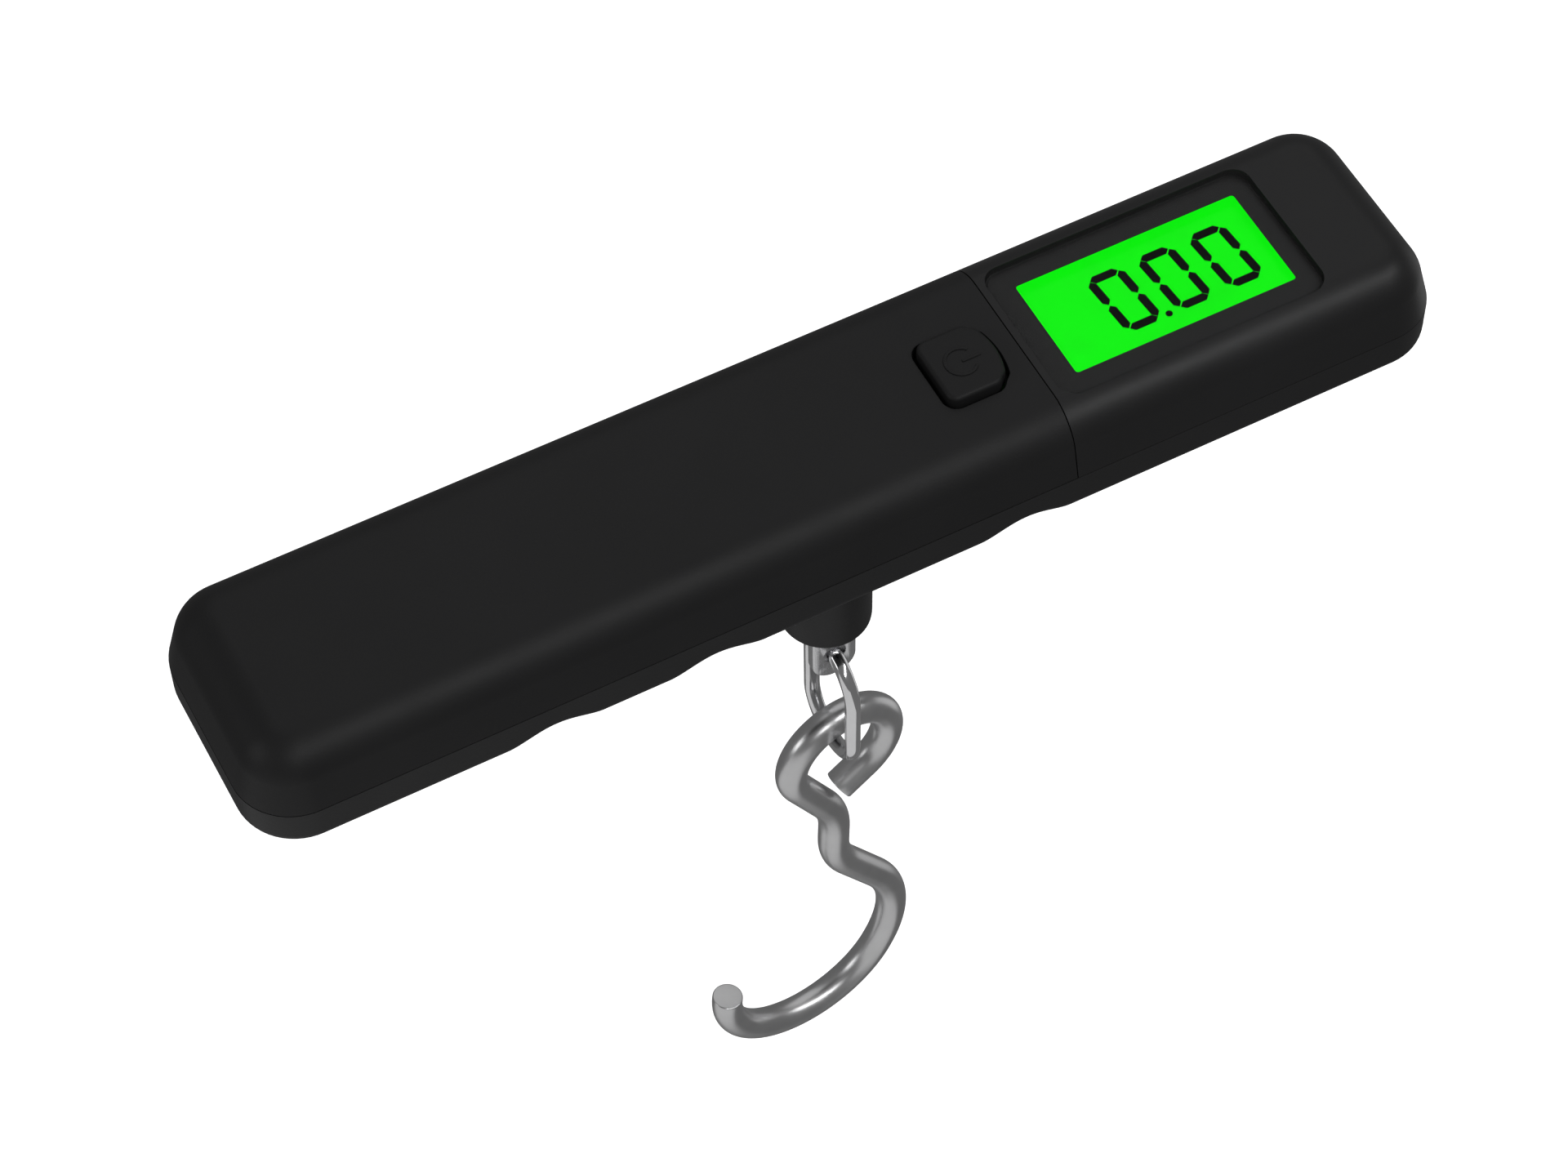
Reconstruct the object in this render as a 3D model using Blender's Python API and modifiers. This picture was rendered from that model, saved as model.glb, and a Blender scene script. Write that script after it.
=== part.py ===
"""Digital luggage scale: a bar handle with a read-out at one end and a hook that hangs below it.

Metres, +Z up.  The origin is the point of the flat top face that lies over the load axis.
+X runs along the bar to the read-out end, and the hook hangs towards -Z.
"""
import math

import bmesh
import bpy
from mathutils import Matrix, Vector

# ---------------------------------------------------------------- driving dimensions
GAP = 0.0003                 # clearance between pieces that touch
HANDLE_REACH = 0.0771        # load axis to the handle end
HEAD_REACH = 0.0729          # load axis to the read-out end
BAR_WIDTH = 0.0304
BAR_HEIGHT = 0.0141
CORNER_R = 0.0072            # plan corners of the bar
TOP_FILLET = 0.0041
BOTTOM_FILLET = 0.0019
DRAFT = 0.25                 # how far the upper walls lean in for each unit of height
PARTING_Z = -0.0083          # where the covers meet the lower shell
SEAM_X = 0.0234              # where the handle cover meets the head cover
WALL = 0.0018
FLOOR = 0.0032

NOTCH_PLACES = (-0.0420, -0.0222, 0.0170)
NOTCH_HALF_WIDTH = 0.0043
NOTCH_DEPTH = 0.0016

SLEEVE_X = -0.0009           # the round neck stands a little towards the handle end
SLEEVE_R = 0.0056
SLEEVE_BOTTOM = -0.0373
SLEEVE_BORE_RX = 0.0037
SLEEVE_BORE_RY = 0.0024
COLLAR_WALL = 0.0009
COLLAR_DROP = 0.0013
FLANGE_LIP = 0.0014
FLANGE_TOP = -0.0108
FLANGE_BOTTOM = -0.0117

LENS_X = 0.0417
LENS_LENGTH = 0.0345
LENS_WIDTH = 0.0200
LENS_R = 0.0022
LENS_THICK = 0.0010
LENS_LEDGE = 0.0015

LCD_TOP = -0.0021
LCD_LENGTH = 0.0330
LCD_WIDTH = 0.0180
LCD_THICK = 0.0011
GUIDE_THICK = 0.0018
GUIDE_WIDTH = 0.0146
ZEBRA_Y = -0.0081
BOARD_TOP = -0.0057
BOARD_THICK = 0.0012
BOARD_LOW_X = 0.0110
BOARD_HIGH_X = 0.0656
BOARD_WIDTH = 0.0190

BUTTON_X = 0.0165
BUTTON_Y = -0.0007
BUTTON_LENGTH = 0.0082
BUTTON_WIDTH = 0.0092
BUTTON_BOW = 0.0012          # how far the side next to the seam bulges
BUTTON_PROUD = 0.0013
BUTTON_R = 0.0013
SWITCH_TOP = -0.0040

BEAM_HALF_LENGTH = 0.0305
BEAM_WIDTH = 0.0120
BEAM_TOP = -0.0075
BEAM_BOTTOM = -0.0105
BEAM_SCREW_X = 0.0275

STRAP_WIDTH = 0.0058
STRAP_THICK = 0.0015
STRAP_TOP = -0.0031
STRAP_BOTTOM = -0.0502
PIN_Z = -0.0060
PIN_R = 0.0012
PIN_LENGTH = 0.0090
RING_HOLE_Z = -0.0459
RING_HOLE_R = 0.0015

RING_WIRE_R = 0.00098
RING_HALF_WIDTH = 0.0053
RING_TOP_Z = RING_HOLE_Z - RING_HOLE_R + RING_WIRE_R + GAP
RING_BOTTOM_Z = -0.0651

HOOK_WIRE_R = 0.00206
HOOK_TURN = math.radians(6)  # the hook's plane against the bar
EYE_R = 0.00717
EYE_TOP_Z = RING_BOTTOM_Z + RING_WIRE_R + GAP + HOOK_WIRE_R
BOWL_R = 0.01268

CELL_X = 0.0460
CELL_R = 0.0100
CELL_TOP = -0.0090
CELL_BOTTOM = -0.0122
BAY_R = 0.0117
CAP_R = 0.0114
CAP_THICK = 0.0015

CASE_SCREWS = ((-0.0690, 0.0), (-0.0345, 0.0), (0.0275, 0.0115), (0.0275, -0.0115), (0.0682, 0.0))
BOARD_SCREWS = ((0.0130, 0.0078), (0.0615, 0.0068), (0.0615, -0.0068))

BOTTOM_Z = -BAR_HEIGHT
FLOOR_TOP = BOTTOM_Z + FLOOR
BOARD_BOTTOM = BOARD_TOP - BOARD_THICK
LCD_BOTTOM = LCD_TOP - LCD_THICK
CASE_POST_FOOT = FLOOR_TOP + 0.0006
SIDE_POST_ROOT = -0.0026     # posts under the rounded edge start lower


# ---------------------------------------------------------------- scene and helpers
for old in list(bpy.data.objects):
    bpy.data.objects.remove(old, do_unlink=True)

parts = bpy.data.collections.new("luggage_scale")
cutters = bpy.data.collections.new("cutters")
for group in (parts, cutters):
    bpy.context.scene.collection.children.link(group)


def material(name, colour, roughness, metallic=0.0):
    """A Principled material in one plain colour."""
    made = bpy.data.materials.new(name)
    made.use_nodes = True
    shader = made.node_tree.nodes["Principled BSDF"]
    shader.inputs["Base Color"].default_value = (*colour, 1.0)
    shader.inputs["Roughness"].default_value = roughness
    shader.inputs["Metallic"].default_value = metallic
    made.diffuse_color = (*colour, 1.0)
    return made


def add_object(name, mesh, finish=None):
    """A part when it has a finish, otherwise a cutter."""
    item = bpy.data.objects.new(name, mesh)
    if finish:
        mesh.materials.clear()
        mesh.materials.append(finish)
        parts.objects.link(item)
    else:
        cutters.objects.link(item)
        item.hide_render = True
        item.display_type = "WIRE"
    return item


def from_bmesh(name, work, finish=None):
    mesh = bpy.data.meshes.new(name)
    work.to_mesh(mesh)
    work.free()
    return add_object(name, mesh, finish)


def settle(item, finish=None):
    """Replace a curve or a modified object by its plain evaluated mesh, in the same place."""
    name = item.name
    bpy.context.view_layer.update()
    graph = bpy.context.evaluated_depsgraph_get()
    mesh = bpy.data.meshes.new_from_object(item.evaluated_get(graph))
    place = item.matrix_world.copy()
    bpy.data.objects.remove(item, do_unlink=True)
    work = bmesh.new()
    work.from_mesh(mesh)
    bmesh.ops.remove_doubles(work, verts=work.verts, dist=1e-6)
    bmesh.ops.recalc_face_normals(work, faces=work.faces)
    bmesh.ops.transform(work, matrix=place, verts=work.verts)
    work.to_mesh(mesh)
    work.free()
    plain = add_object(name + "_settled", mesh, finish)
    plain.name = name
    return plain


def combine(item, cutter, operation="DIFFERENCE"):
    """Cut, join or trim a piece with a closed cutter."""
    step = item.modifiers.new(operation.lower(), "BOOLEAN")
    step.operation = operation
    step.object = cutter
    step.solver = "EXACT"


def box(name, low, high, finish=None):
    work = bmesh.new()
    bmesh.ops.create_cube(work, size=1.0)
    size = Vector(high) - Vector(low)
    bmesh.ops.scale(work, vec=size, verts=work.verts)
    bmesh.ops.translate(work, vec=(Vector(low) + Vector(high)) / 2, verts=work.verts)
    return from_bmesh(name, work, finish)


def rod(name, radius, low, high, finish=None, centre=(0.0, 0.0), axis="Z", segments=24,
        stretch=1.0, flare=0.0):
    """A cylinder from low to high; stretch widens it along X and flare widens its upper end."""
    work = bmesh.new()
    bmesh.ops.create_cone(work, cap_ends=True, segments=segments,
                          radius1=radius, radius2=radius + flare, depth=high - low)
    bmesh.ops.scale(work, vec=(stretch, 1.0, 1.0), verts=work.verts)
    middle = (low + high) / 2
    if axis == "Y":
        bmesh.ops.rotate(work, matrix=Matrix.Rotation(math.radians(90), 3, "X"), verts=work.verts)
        place = (centre[0], middle, centre[1])
    else:
        place = (centre[0], centre[1], middle)
    bmesh.ops.translate(work, vec=place, verts=work.verts)
    return from_bmesh(name, work, finish)


def arc(centre, radius, start, turn, steps):
    """Points of a plane arc, both ends included; angles in degrees."""
    angles = (math.radians(start + turn * step / steps) for step in range(steps + 1))
    return [(centre[0] + radius * math.cos(a), centre[1] + radius * math.sin(a)) for a in angles]


def rounded_outline(low, high, radius, steps=6):
    """A rounded rectangle between two plan corners, anticlockwise."""
    corners = (((high[0] - radius, high[1] - radius), 0), ((low[0] + radius, high[1] - radius), 90),
               ((low[0] + radius, low[1] + radius), 180), ((high[0] - radius, low[1] + radius), 270))
    points = []
    for centre, start in corners:
        points += arc(centre, radius, start, 90, steps)
    return points


def flat_piece(name, outline, low, high, finish=None, upright=False):
    """An outline filled and extruded from low to high; upright stands it in the XZ plane."""
    curve = bpy.data.curves.new(name, "CURVE")
    curve.dimensions = "2D"
    curve.fill_mode = "BOTH"
    curve.extrude = (high - low) / 2
    spline = curve.splines.new("POLY")
    spline.points.add(len(outline) - 1)
    for point, place in zip(spline.points, outline):
        point.co = (*place, 0.0, 1.0)
    spline.use_cyclic_u = True
    item = bpy.data.objects.new(name, curve)
    parts.objects.link(item)
    if upright:
        item.matrix_world = Matrix.Translation((0, (low + high) / 2, 0)) @ Matrix.Rotation(math.pi / 2, 4, "X")
    else:
        item.location.z = (low + high) / 2
    return settle(item, finish)


def plate(name, low, high, radius, finish=None):
    """A flat plate with rounded corners that fills a box."""
    return flat_piece(name, rounded_outline(low[:2], high[:2], radius, 4), low[2], high[2], finish)


def stacked(name, levels, finish=None):
    """A closed form lofted through bar outlines, each level being (inset, height)."""
    work = bmesh.new()
    rings = []
    for inset, height in levels:
        radius = max(CORNER_R - inset, 0.0020)
        outline = rounded_outline((inset - HANDLE_REACH, inset - BAR_WIDTH / 2),
                                  (HEAD_REACH - inset, BAR_WIDTH / 2 - inset), radius)
        rings.append([work.verts.new((*place, height)) for place in outline])
    for below, above in zip(rings, rings[1:]):
        for side in range(len(below)):
            after = (side + 1) % len(below)
            work.faces.new((below[side], below[after], above[after], above[side]))
    work.faces.new(list(reversed(rings[0])))
    work.faces.new(rings[-1])
    return from_bmesh(name, work, finish)


def wire(name, points, radius, finish, closed=False):
    """A round wire along a path of points."""
    curve = bpy.data.curves.new(name, "CURVE")
    curve.dimensions = "3D"
    curve.bevel_depth = radius
    curve.bevel_resolution = 3
    curve.use_fill_caps = not closed
    spline = curve.splines.new("POLY")
    spline.points.add(len(points) - 1)
    for point, place in zip(spline.points, points):
        point.co = (*place, 1.0)
    spline.use_cyclic_u = closed
    item = bpy.data.objects.new(name, curve)
    parts.objects.link(item)
    return settle(item, finish)


def ribbon(name, path, y_low, y_high, thickness, finish):
    """A bent strip: a path in the XZ plane, widened along Y and given a thickness."""
    work = bmesh.new()
    rows = [[work.verts.new((x, y, z)) for y in (y_low, y_high)] for x, z in path]
    for here, after in zip(rows, rows[1:]):
        work.faces.new((here[0], after[0], after[1], here[1]))
    item = from_bmesh(name, work, finish)
    skin = item.modifiers.new("thickness", "SOLIDIFY")
    skin.thickness = thickness
    skin.offset = 0.0
    skin.use_even_offset = True
    return item


def turned(name, profile, finish=None, steps=24):
    """A turned shape about Z; the profile runs from the top of the axis down its outer side."""
    mesh = bpy.data.meshes.new(name)
    points = [(radius, 0.0, height) for radius, height in profile]
    mesh.from_pydata(points, [(i, i + 1) for i in range(len(points) - 1)], [])
    item = bpy.data.objects.new(name, mesh)
    parts.objects.link(item)
    lathe = item.modifiers.new("lathe", "SCREW")
    lathe.angle = math.tau
    lathe.steps = steps
    lathe.render_steps = steps
    lathe.use_merge_vertices = True
    lathe.merge_threshold = 1e-5
    return settle(item, finish)


def repeat(name, pattern, places, finish):
    """Numbered copies of one piece, each its own object on the shared mesh."""
    mesh = pattern.data
    bpy.data.objects.remove(pattern, do_unlink=True)
    for number, place in enumerate(places, 1):
        add_object(f"{name}_{number}", mesh, finish).location = place


def set_origin(item, place):
    """Move a moving piece's origin on to its joint's axis; the shape stays where it is."""
    item.data.transform(Matrix.Translation(-Vector(place)))
    item.location = place


# ---------------------------------------------------------------- casing
def fillet_levels(radius, steps):
    """(inset, drop) pairs round a fillet, from the side wall to the flat face."""
    angles = [math.pi / 2 * step / steps for step in range(steps + 1)]
    return [(radius * (1 - math.cos(a)), radius * (1 - math.sin(a))) for a in angles]


def cover_levels(offset=0.0):
    """Outer skin of the covers, or their inner skin when offset is the wall thickness."""
    levels = [(offset, PARTING_Z + GAP / 2 if offset == 0.0 else PARTING_Z - WALL)]
    for inset, drop in fillet_levels(TOP_FILLET - offset, 6):
        lean = DRAFT * (-drop - PARTING_Z)
        levels.append((inset + lean + offset, -drop - offset))
    return levels


def lower_levels(offset=0.0, base=BOTTOM_Z, fillet=BOTTOM_FILLET):
    """Skin of the lower shell from its base up to the parting line."""
    levels = [(inset + offset, base + drop) for inset, drop in reversed(fillet_levels(fillet, 4))]
    levels.append((offset, PARTING_Z - GAP / 2 if offset == 0.0 else PARTING_Z + WALL))
    return levels


def screw_post(item, place, foot, root=-WALL / 2, radius=0.0016, bore=0.0011):
    """A post that hangs from a cover's roof down to its foot, bored for a screw."""
    combine(item, rod("post_outer", radius, foot, root, centre=place), "UNION")
    combine(item, rod("post_bore", bore, foot - WALL, -0.0042, centre=place, segments=16))


def cover(name, low_x, high_x, finish):
    """One length of the upper casing: the lofted skin, hollowed and trimmed at the seam."""
    item = stacked(name, cover_levels(), finish)
    combine(item, stacked(name + "_hollow", cover_levels(WALL)))
    reach = BAR_WIDTH
    slab = box(name + "_slab", (low_x, -reach, PARTING_Z - reach), (high_x, reach, reach))
    combine(item, slab, "INTERSECT")
    return item


def button_outline(grow=0.0):
    """A rounded square whose side next to the seam bulges outwards."""
    half_x = BUTTON_LENGTH / 2 + grow
    half_y = BUTTON_WIDTH / 2 + grow
    radius = BUTTON_R + grow
    shoulder = half_x - BUTTON_BOW
    bow_r = (half_y ** 2 + BUTTON_BOW ** 2) / (2 * BUTTON_BOW)
    spread = math.degrees(math.asin((half_y - radius) / bow_r))
    points = arc((half_x - bow_r, 0.0), bow_r, -spread, 2 * spread, 8)
    points += arc((shoulder - radius, half_y - radius), radius, 35, 55, 3)
    points += arc((radius - half_x, half_y - radius), radius, 90, 90, 4)
    points += arc((radius - half_x, radius - half_y), radius, 180, 90, 4)
    points += arc((shoulder - radius, radius - half_y), radius, 270, 55, 3)
    return [(x + BUTTON_X, y + BUTTON_Y) for x, y in points]


def make_handle_cover(finish):
    item = cover("handle_cover", -HANDLE_REACH - WALL, SEAM_X - GAP / 2, finish)
    for place in CASE_SCREWS[:2]:
        screw_post(item, place, CASE_POST_FOOT)
    screw_post(item, BOARD_SCREWS[0], BOARD_TOP + GAP, bore=0.0010)
    combine(item, flat_piece("button_hole", button_outline(GAP), -WALL * 2, WALL))
    return item


def make_head_cover(finish):
    item = cover("head_cover", SEAM_X + GAP / 2, HEAD_REACH + WALL, finish)
    for place in CASE_SCREWS[2:4]:
        screw_post(item, place, CASE_POST_FOOT, SIDE_POST_ROOT)
    screw_post(item, CASE_SCREWS[4], CASE_POST_FOOT)
    for place in BOARD_SCREWS[1:]:
        screw_post(item, place, BOARD_TOP + GAP, bore=0.0010)
    half_x = LENS_LENGTH / 2 + GAP
    half_y = LENS_WIDTH / 2 + GAP
    pocket = plate("lens_pocket", (LENS_X - half_x, -half_y, -LENS_THICK - GAP),
                   (LENS_X + half_x, half_y, WALL), LENS_R + GAP)
    combine(item, pocket)
    half_x -= LENS_LEDGE
    half_y -= LENS_LEDGE
    window = plate("window_hole", (LENS_X - half_x, -half_y, -WALL * 2),
                   (LENS_X + half_x, half_y, 0.0), LENS_R)
    combine(item, window)
    return item


def make_lower_shell(finish):
    """The tray under the whole bar, with finger notches, neck hole, cell bay and screw holes."""
    item = stacked("lower_shell", lower_levels(), finish)
    combine(item, stacked("lower_hollow", lower_levels(WALL, FLOOR_TOP, GAP)))
    notch_r = (NOTCH_HALF_WIDTH ** 2 + NOTCH_DEPTH ** 2) / (2 * NOTCH_DEPTH)
    for x in NOTCH_PLACES:
        notch = rod("finger_notch", notch_r, -BAR_WIDTH, BAR_WIDTH, axis="Y", segments=48,
                    centre=(x, BOTTOM_Z + NOTCH_DEPTH - notch_r))
        combine(item, notch)
    neck = (SLEEVE_X, 0.0)
    collar = rod("collar", SLEEVE_R + COLLAR_WALL, BOTTOM_Z - COLLAR_DROP, BOTTOM_Z + WALL / 2,
                 centre=neck, segments=32, flare=COLLAR_WALL)
    combine(item, collar, "UNION")
    combine(item, rod("neck_hole", SLEEVE_R + GAP, BOTTOM_Z - WALL, FLOOR_TOP + WALL,
                      centre=neck, segments=32))
    combine(item, rod("flange_seat", SLEEVE_R + FLANGE_LIP + GAP, FLANGE_BOTTOM - GAP,
                      FLOOR_TOP + WALL, centre=neck, segments=32))
    combine(item, rod("cell_bay", BAY_R, BOTTOM_Z - WALL, FLOOR_TOP + WALL,
                      centre=(CELL_X, 0.0), segments=48))
    for place in CASE_SCREWS:
        combine(item, rod("screw_way", 0.0011, BOTTOM_Z - WALL, FLOOR_TOP + WALL,
                          centre=place, segments=16))
        combine(item, rod("screw_recess", 0.0019, BOTTOM_Z - WALL, BOTTOM_Z + 0.0021,
                          centre=place, segments=16))
    for side in (-1, 1):
        combine(item, rod("beam_screw_hole", 0.0013, BOTTOM_Z + 0.0007, FLOOR_TOP + WALL,
                          centre=(side * BEAM_SCREW_X, 0.0), segments=16))
    return item


def make_neck_sleeve(finish):
    """The round neck: a tube with an oval bore, its flange trapped in the floor of the shell."""
    neck = (SLEEVE_X, 0.0)
    item = rod("neck_sleeve", SLEEVE_R, SLEEVE_BOTTOM, FLANGE_TOP, finish, centre=neck, segments=40)
    combine(item, rod("flange", SLEEVE_R + FLANGE_LIP, FLANGE_BOTTOM, FLANGE_TOP, centre=neck,
                      segments=40), "UNION")
    combine(item, rod("neck_bore", SLEEVE_BORE_RY, SLEEVE_BOTTOM - WALL, FLANGE_TOP + WALL,
                      segments=32, stretch=SLEEVE_BORE_RX / SLEEVE_BORE_RY))
    return item


# ---------------------------------------------------------------- read-out and electronics
def centred_plate(name, x, y, length, width, top, thickness, radius, finish):
    return plate(name, (x - length / 2, y - width / 2, top - thickness),
                 (x + length / 2, y + width / 2, top), radius, finish)


def make_display(lens, glass, clear, rubber):
    centred_plate("display_lens", LENS_X, 0.0, LENS_LENGTH, LENS_WIDTH, -0.00005,
                  LENS_THICK - 0.00005, LENS_R, lens)
    centred_plate("lcd_panel", LENS_X, 0.0, LCD_LENGTH, LCD_WIDTH, LCD_TOP, LCD_THICK, 0.0004, glass)
    centred_plate("light_guide", LENS_X, 0.0015, LCD_LENGTH - 0.0006, GUIDE_WIDTH,
                  LCD_BOTTOM - GAP, GUIDE_THICK, 0.0006, clear)
    strip_top = LCD_BOTTOM - GAP
    centred_plate("zebra_strip", LENS_X, ZEBRA_Y, LCD_LENGTH - 0.0040, 0.0016, strip_top,
                  strip_top - BOARD_TOP - GAP, 0.0003, rubber)


def make_board(laminate, chip_black):
    half = BOARD_WIDTH / 2
    board = plate("main_board", (BOARD_LOW_X, -half, BOARD_BOTTOM), (BOARD_HIGH_X, half, BOARD_TOP),
                  0.0010, laminate)
    for place in BOARD_SCREWS:
        combine(board, rod("board_hole", 0.0010, BOARD_BOTTOM - WALL, BOARD_TOP + WALL,
                           centre=place, segments=16))
    box("controller_chip", (0.0581, -0.0025, BOARD_BOTTOM - GAP - 0.0010),
        (0.0629, 0.0025, BOARD_BOTTOM - GAP), chip_black)


def make_button(rubber, chip_black, plunger_white):
    """Rubber button with a flange under the cover, and the switch that it presses."""
    button = flat_piece("power_button", button_outline(), -0.0022, BUTTON_PROUD, rubber)
    flange = flat_piece("button_flange", button_outline(0.0009), -0.0029, -0.0021)
    combine(button, flange, "UNION")
    middle = (BUTTON_X, BUTTON_Y)
    combine(button, rod("button_nub", 0.0013, -0.0030, -0.0025, centre=middle), "UNION")
    set_origin(button, (*middle, 0.0))
    half = 0.0030
    base = BOARD_TOP + GAP
    switch = box("tact_switch", (BUTTON_X - half, BUTTON_Y - half, base),
                 (BUTTON_X + half, BUTTON_Y + half, SWITCH_TOP), chip_black)
    combine(switch, rod("plunger_way", 0.0015, base - WALL, SWITCH_TOP + WALL, centre=middle))
    plunger = rod("switch_plunger", 0.0012, -0.0047, -0.0033, plunger_white, centre=middle)
    set_origin(plunger, (*middle, SWITCH_TOP))


def make_battery(steel, nickel, plastic):
    """Coin cell, its two contacts, and the cap that a coin turns."""
    rim = 0.0006
    cell = turned("coin_cell", ((0.0, CELL_TOP), (CELL_R - rim * 2, CELL_TOP),
                                (CELL_R, CELL_TOP - rim), (CELL_R, CELL_BOTTOM), (0.0, CELL_BOTTOM)),
                  nickel, 36)
    cell.data.transform(Matrix.Translation((CELL_X, 0.0, 0.0)))
    ribbon("cell_contact_negative", ((0.0370, -0.0074), (0.0405, -0.0075), (0.0455, -0.0085),
                                     (0.0490, -0.0085)), -0.0018, 0.0018, 0.00025, steel)
    rim_x = CELL_X + CELL_R + 0.0006
    ribbon("cell_contact_positive", ((rim_x, -0.0120), (rim_x, -0.0079), (rim_x + 0.0008, -0.0074)),
           -0.0016, 0.0016, 0.00025, steel)
    cap_low = BOTTOM_Z + 0.0001
    cap = turned("battery_cap", ((0.0, cap_low + CAP_THICK), (CAP_R - 0.0004, cap_low + CAP_THICK),
                                 (CAP_R, cap_low + CAP_THICK - 0.0004), (CAP_R, cap_low + 0.0003),
                                 (CAP_R - 0.0003, cap_low), (0.0, cap_low)), plastic, 48)
    cap.data.transform(Matrix.Translation((CELL_X, 0.0, 0.0)))
    combine(cap, box("coin_slot", (CELL_X - 0.0065, -0.0009, cap_low - WALL),
                     (CELL_X + 0.0065, 0.0009, cap_low + 0.0007)))
    set_origin(cap, (CELL_X, 0.0, cap_low))


def make_load_cell(steel, film, copper):
    """The bending beam, its gauges and their leads."""
    beam = box("load_cell_beam", (-BEAM_HALF_LENGTH, -BEAM_WIDTH / 2, BEAM_BOTTOM),
               (BEAM_HALF_LENGTH, BEAM_WIDTH / 2, BEAM_TOP), steel)
    through_low = BEAM_BOTTOM - WALL
    through_high = BEAM_TOP + WALL
    combine(beam, box("strap_slot", (-0.0034, -0.0012, through_low), (0.0034, 0.0012, through_high)))
    for side in (-1, 1):
        waist = rod("beam_waist", 0.0010, -BEAM_WIDTH, BEAM_WIDTH, axis="Y", segments=16,
                    centre=(side * 0.0073, (BEAM_TOP + BEAM_BOTTOM) / 2))
        combine(beam, waist)
        hole = (side * BEAM_SCREW_X, 0.0)
        combine(beam, rod("beam_hole", 0.0013, through_low, through_high, centre=hole, segments=16))
        combine(beam, rod("beam_sink", 0.0024, -0.0091, through_high, centre=hole, segments=20))
    gauge = box("gauge_pattern", (-0.0024, -0.0020, BEAM_TOP + GAP), (0.0024, 0.0020, BEAM_TOP + 2 * GAP))
    repeat("strain_gauge", gauge, ((-0.0073, 0, 0), (0.0073, 0, 0)), film)
    ribbon("gauge_leads", ((-0.0095, -0.0066), (0.0092, -0.0066), (0.0102, -0.0053), (0.0128, -0.0053)),
           -0.0061, -0.0051, 0.0002, copper)


def make_screws(steel):
    """Case screws from below, board screws and beam screws."""
    head = BOTTOM_Z + 0.0018
    case = turned("case_pattern", ((0.0, -0.0048), (0.0008, -0.0048), (0.0008, head), (0.0016, head),
                                   (0.0016, head - 0.0009), (0.0, head - 0.0009)), steps=16)
    repeat("case_screw", case, [(x, y, 0.0) for x, y in CASE_SCREWS], steel)
    head = BOARD_BOTTOM - GAP
    board = turned("board_pattern", ((0.0, -0.0046), (0.0007, -0.0046), (0.0007, head), (0.0014, head),
                                     (0.0014, head - 0.0007), (0.0, head - 0.0007)), steps=12)
    repeat("board_screw", board, [(x, y, 0.0) for x, y in BOARD_SCREWS], steel)
    head = BEAM_TOP - 0.0001
    beam = turned("beam_pattern", ((0.0, head), (0.0020, head), (0.0020, -0.0088), (0.0010, -0.0088),
                                   (0.0010, -0.0130), (0.0, -0.0130)), steps=16)
    repeat("beam_screw", beam, [(side * BEAM_SCREW_X, 0, 0) for side in (-1, 1)], steel)


# ---------------------------------------------------------------- hanging gear
def make_strap(steel):
    """Flat strap with round ends, hung from a pin across the beam."""
    radius = STRAP_WIDTH / 2
    outline = arc((0.0, STRAP_TOP - radius), radius, 0, 180, 12)
    outline += arc((0.0, STRAP_BOTTOM + radius), radius, 180, 180, 12)
    half = STRAP_THICK / 2
    strap = flat_piece("hanger_strap", outline, -half, half, steel, upright=True)
    for radius, height in ((PIN_R + GAP, PIN_Z), (RING_HOLE_R, RING_HOLE_Z)):
        combine(strap, rod("strap_hole", radius, -STRAP_THICK, STRAP_THICK, axis="Y",
                           centre=(0.0, height), segments=24))
    rod("strap_pin", PIN_R, -PIN_LENGTH / 2, PIN_LENGTH / 2, steel, axis="Y", centre=(0.0, PIN_Z),
        segments=16)


def make_ring(chrome):
    """An oval link across the bar, through the strap's hole and the hook's eye."""
    radius = RING_HALF_WIDTH
    path = arc((0.0, RING_TOP_Z - radius), radius, 0, 180, 14)
    path += arc((0.0, RING_BOTTOM_Z + radius), radius, 180, 180, 14)
    ring = wire("link_ring", [(0.0, y, z) for y, z in path], RING_WIRE_R, chrome, closed=True)
    set_origin(ring, (0.0, 0.0, RING_TOP_Z))


# Bends of the hook's wire, from the cut end of the eye to the tip of the bowl: a straight
# length, then a bend of this radius through this angle, anticlockwise when positive.
HOOK_START_X = 0.0009
HOOK_START_HEADING = 30.0
HOOK_BENDS = (
    (0.00432, EYE_R, 268.4),
    (0.00823, 0.0129, -30.0),
    (0.00309, 0.0121, 33.6),
    (0.00883, 0.0174, -60.0),
    (0.00040, BOWL_R, -160.3),
)
BEND_STEP = 10.0             # degrees between points round a bend


def hook_path():
    """The bent wire's centre line in the hook's own plane, the eye's top at its height."""
    place = Vector((HOOK_START_X, 0.0))
    heading = math.radians(HOOK_START_HEADING)
    points = [place.copy()]
    for straight, radius, turn in HOOK_BENDS:
        place += Vector((math.cos(heading), math.sin(heading))) * straight
        points.append(place.copy())
        side = math.copysign(1.0, turn)
        centre = place + Vector((-math.sin(heading), math.cos(heading))) * radius * side
        steps = math.ceil(abs(turn) / BEND_STEP)
        for step in range(1, steps + 1):
            angle = heading + math.radians(turn * step / steps)
            place = centre + Vector((math.sin(angle), -math.cos(angle))) * radius * side
            points.append(place.copy())
        heading += math.radians(turn)
    eye_top = max(point.y for point in points)
    return [(point.x, point.y - eye_top + EYE_TOP_Z) for point in points]


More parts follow.
